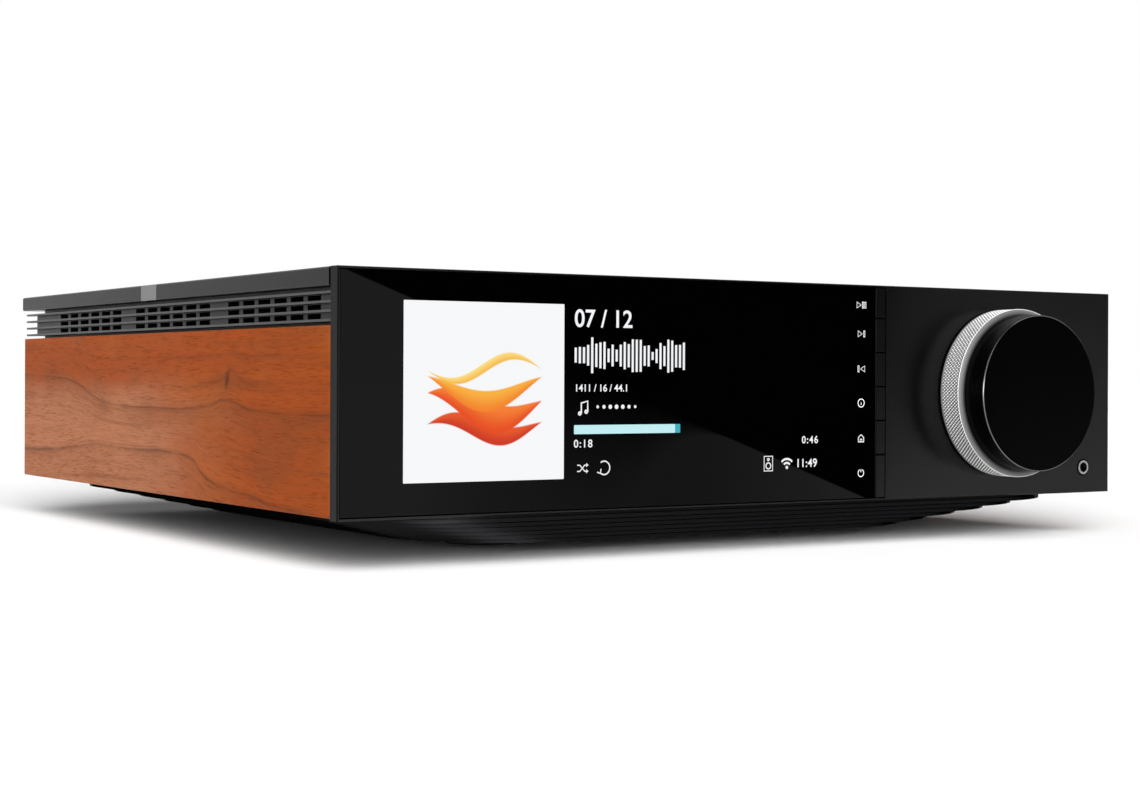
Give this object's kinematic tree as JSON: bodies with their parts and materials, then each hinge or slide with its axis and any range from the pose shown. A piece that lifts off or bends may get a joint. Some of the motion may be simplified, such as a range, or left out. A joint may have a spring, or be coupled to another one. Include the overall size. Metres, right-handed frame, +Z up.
{
  "type": "network music streamer",
  "caption": "Low wide music streamer: black glass front with display and key column, knob in a knurled ring, wooden sides under vents, flat top, stepped plinth.",
  "frame": {"origin": "on the surface it stands on, under the middle of its overall size", "axes": "+X to the viewer's right, +Y from the front to the rear, +Z up"},
  "size_m": [0.317, 0.3396, 0.089],
  "materials": {
    "black_glass": "polished",
    "dark_anodised": "brushed satin",
    "plinth_metal": "satin",
    "vent_metal": "satin",
    "knob_black": "satin",
    "ring_silver": "knurled satin",
    "inlay_silver": "brushed",
    "walnut": "oiled",
    "key_metal": "satin",
    "black_plastic": "fine grain",
    "chassis_black": "powder coat",
    "zinc_steel": "zinc",
    "bright_nickel": "plated",
    "gold_plate": "plated",
    "circuit_green": "solder mask",
    "heat_black": "anodised",
    "capacitor_sleeve": "sleeve",
    "core_steel": "varnished",
    "foot_rubber": "matte",
    "ribbon_grey": "matte",
    "wire_red": "satin",
    "wire_dark": "satin",
    "cap_red": "moulded",
    "cap_black": "moulded"
  },
  "bodies": {
    "case": {"fascia": "dark_anodised", "display_glass": "black_glass", "display_module": "black_plastic", "display_bracket": "zinc_steel", "front_board": "circuit_green", "key_guide": "black_plastic", "key_switches": "black_plastic", "dual_encoder": "zinc_steel", "encoder_nut": "bright_nickel", "headphone_socket": "bright_nickel", "base_tray": "chassis_black", "base_plinth": "plinth_metal", "feet": "foot_rubber", "top_cover": "dark_anodised", "top_inlay": "inlay_silver", "left_vent_grille": "vent_metal", "right_vent_grille": "vent_metal", "rear_panel": "chassis_black", "case_screws": "zinc_steel", "board_standoffs": "zinc_steel", "main_board": "circuit_green", "network_module": "bright_nickel", "power_supply_board": "circuit_green", "supply_transformer": "core_steel", "filter_capacitors": "capacitor_sleeve", "amplifier_board": "circuit_green", "amplifier_heatsink": "heat_black", "mains_inlet": "black_plastic", "rocker_housing": "black_plastic", "network_socket": "bright_nickel", "usb_socket": "bright_nickel", "video_socket": "bright_nickel", "optical_sockets": "black_plastic", "phono_sockets": "gold_plate", "antenna_sockets": "gold_plate", "terminal_plate": "black_plastic", "terminal_studs": "gold_plate", "display_ribbon": "ribbon_grey", "mains_wires": "wire_dark", "supply_wires": "wire_red", "speaker_wires": "wire_dark"},
    "left_panel": {"left_side_panel": "walnut", "left_panel_magnets": "bright_nickel"},
    "right_panel": {"right_side_panel": "walnut", "right_panel_magnets": "bright_nickel"},
    "volume": {"volume_knob": "knob_black", "volume_shaft": "zinc_steel"},
    "selector": {"selector_ring": "ring_silver", "selector_sleeve": "zinc_steel"},
    "play_pause": {"play_pause_key": "key_metal"},
    "next": {"next_key": "key_metal"},
    "previous": {"previous_key": "key_metal"},
    "info": {"info_key": "key_metal"},
    "home": {"home_key": "key_metal"},
    "power": {"power_key": "key_metal"},
    "rocker": {"mains_rocker": "black_plastic"},
    "cap_1": {"terminal_cap_1": "cap_red"},
    "cap_2": {"terminal_cap_2": "cap_black"},
    "cap_3": {"terminal_cap_3": "cap_red"},
    "cap_4": {"terminal_cap_4": "cap_black"}
  },
  "joints": [
    {"name": "volume_turn", "type": "hinge", "parent": "case", "child": "volume", "pos_m": [0.1032, -0.1506, 0.0522], "axis": [0, 1, 0], "continuous": true},
    {"name": "selector_turn", "type": "hinge", "parent": "case", "child": "selector", "pos_m": [0.1032, -0.1506, 0.0522], "axis": [0, 1, 0], "continuous": true},
    {"name": "play_pause_press", "type": "slide", "parent": "case", "child": "play_pause", "axis": [0, 1, 0], "range_m": [0, 0.0007], "stiffness_N_per_m": 600, "springref_m": -0.0006},
    {"name": "next_press", "type": "slide", "parent": "case", "child": "next", "axis": [0, 1, 0], "range_m": [0, 0.0007], "stiffness_N_per_m": 600, "springref_m": -0.0006},
    {"name": "previous_press", "type": "slide", "parent": "case", "child": "previous", "axis": [0, 1, 0], "range_m": [0, 0.0007], "stiffness_N_per_m": 600, "springref_m": -0.0006},
    {"name": "info_press", "type": "slide", "parent": "case", "child": "info", "axis": [0, 1, 0], "range_m": [0, 0.0007], "stiffness_N_per_m": 600, "springref_m": -0.0006},
    {"name": "home_press", "type": "slide", "parent": "case", "child": "home", "axis": [0, 1, 0], "range_m": [0, 0.0007], "stiffness_N_per_m": 600, "springref_m": -0.0006},
    {"name": "power_press", "type": "slide", "parent": "case", "child": "power", "axis": [0, 1, 0], "range_m": [0, 0.0007], "stiffness_N_per_m": 600, "springref_m": -0.0006},
    {"name": "rocker_tip", "type": "hinge", "parent": "case", "child": "rocker", "pos_m": [-0.087, 0.1376, 0.0464], "axis": [-1, 0, 0], "range_deg": [0, 20]},
    {"name": "left_panel_pull", "type": "slide", "parent": "case", "child": "left_panel", "axis": [-1, 0, 0], "range_m": [0, 0.03]},
    {"name": "right_panel_pull", "type": "slide", "parent": "case", "child": "right_panel", "axis": [1, 0, 0], "range_m": [0, 0.03]},
    {"name": "cap_1_turn", "type": "hinge", "parent": "case", "child": "cap_1", "pos_m": [-0.0605, 0.1494, 0.052], "axis": [0, 1, 0], "range_deg": [0, 1440]},
    {"name": "cap_2_turn", "type": "hinge", "parent": "case", "child": "cap_2", "pos_m": [-0.0415, 0.1494, 0.052], "axis": [0, 1, 0], "range_deg": [0, 1440]},
    {"name": "cap_3_turn", "type": "hinge", "parent": "case", "child": "cap_3", "pos_m": [-0.0225, 0.1494, 0.052], "axis": [0, 1, 0], "range_deg": [0, 1440]},
    {"name": "cap_4_turn", "type": "hinge", "parent": "case", "child": "cap_4", "pos_m": [-0.0035, 0.1494, 0.052], "axis": [0, 1, 0], "range_deg": [0, 1440]}
  ]
}
